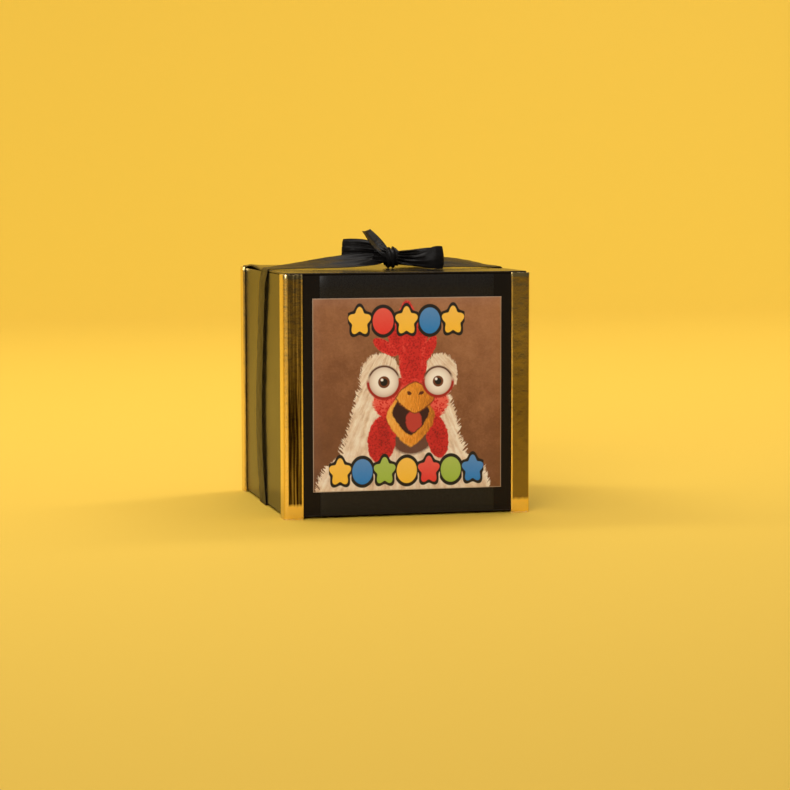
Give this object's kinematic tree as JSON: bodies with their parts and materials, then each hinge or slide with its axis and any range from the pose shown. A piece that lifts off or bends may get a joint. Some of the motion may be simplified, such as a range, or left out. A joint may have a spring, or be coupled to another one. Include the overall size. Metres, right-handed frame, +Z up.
{
  "type": "rubber chicken",
  "caption": "Black ribbon-tied surprise box with gold corner trims and a rooster picture; a rubber squeaking rooster rises on a spring as the lid opens.",
  "frame": {"origin": "middle of the footprint, on the plane the four corner trims stand on", "axes": "+X to the right of the picture face, +Y from the picture face to the back, +Z up"},
  "size_m": [0.166, 0.166, 0.1881],
  "materials": {
    "black_board": "black laminated board with a soft sheen",
    "gold_foil": "mirror gold foil laminated on a thin folded angle",
    "black_film": "black satin film",
    "picture_print": "colour print with a satin seal",
    "hinge_cloth": "black book cloth",
    "grey_board": "uncoated grey board",
    "magnet_nickel": "nickel-plated disc magnet",
    "plate_steel": "bare steel disc",
    "satin_ribbon": "black satin ribbon",
    "spring_steel": "drawn spring wire",
    "staple_steel": "galvanised staple wire",
    "platform_plastic": "off-white moulded plastic",
    "squeaker_plastic": "white moulded plastic",
    "squeaker_reed": "thin metal reed",
    "figure_rubber": "moulded latex painted white, red and orange"
  },
  "bodies": {
    "box": {"base_panel": "black_board", "front_panel": "black_board", "back_panel": "black_board", "left_panel": "black_board", "right_panel": "black_board", "corner_trim_left_front": "gold_foil", "corner_trim_right_front": "gold_foil", "corner_trim_left_back": "gold_foil", "corner_trim_right_back": "gold_foil", "front_film": "black_film", "front_picture": "picture_print", "hinge_strip": "hinge_cloth", "front_ledge": "grey_board", "magnet_left": "magnet_nickel", "magnet_right": "magnet_nickel", "spring_board": "grey_board", "base_staple_1": "staple_steel", "base_staple_2": "staple_steel", "base_staple_3": "staple_steel", "pop_spring": "spring_steel", "side_strand_left": "satin_ribbon", "side_strand_right": "satin_ribbon", "base_strap": "satin_ribbon"},
    "lid": {"lid_panel": "black_board", "lid_liner": "black_board", "lid_plate_left": "plate_steel", "lid_plate_right": "plate_steel", "lid_strand_left": "satin_ribbon", "lid_strand_right": "satin_ribbon", "bow_knot": "satin_ribbon", "bow_loop_left": "satin_ribbon", "bow_loop_right": "satin_ribbon", "bow_tail_upper": "satin_ribbon", "bow_tail_rear": "satin_ribbon"},
    "rooster": {"lift_platform": "platform_plastic", "platform_staple_1": "staple_steel", "platform_staple_2": "staple_steel", "platform_staple_3": "staple_steel", "squeaker_body": "squeaker_plastic", "squeaker_reed": "squeaker_reed", "rooster_body": "figure_rubber"}
  },
  "joints": [
    {"name": "lid_hinge", "type": "hinge", "parent": "box", "child": "lid", "pos_m": [0, 0.081, 0.1605], "axis": [-1, 0, 0], "range_deg": [0, 110]},
    {"name": "rooster_rise", "type": "slide", "parent": "box", "child": "rooster", "axis": [0, 0, 1], "range_m": [0, 0.12], "deforming": ["pop_spring"]}
  ],
  "couplings": [
    {"joint": "rooster_rise", "follows": "lid_hinge", "m_per_rad": 0.062}
  ]
}
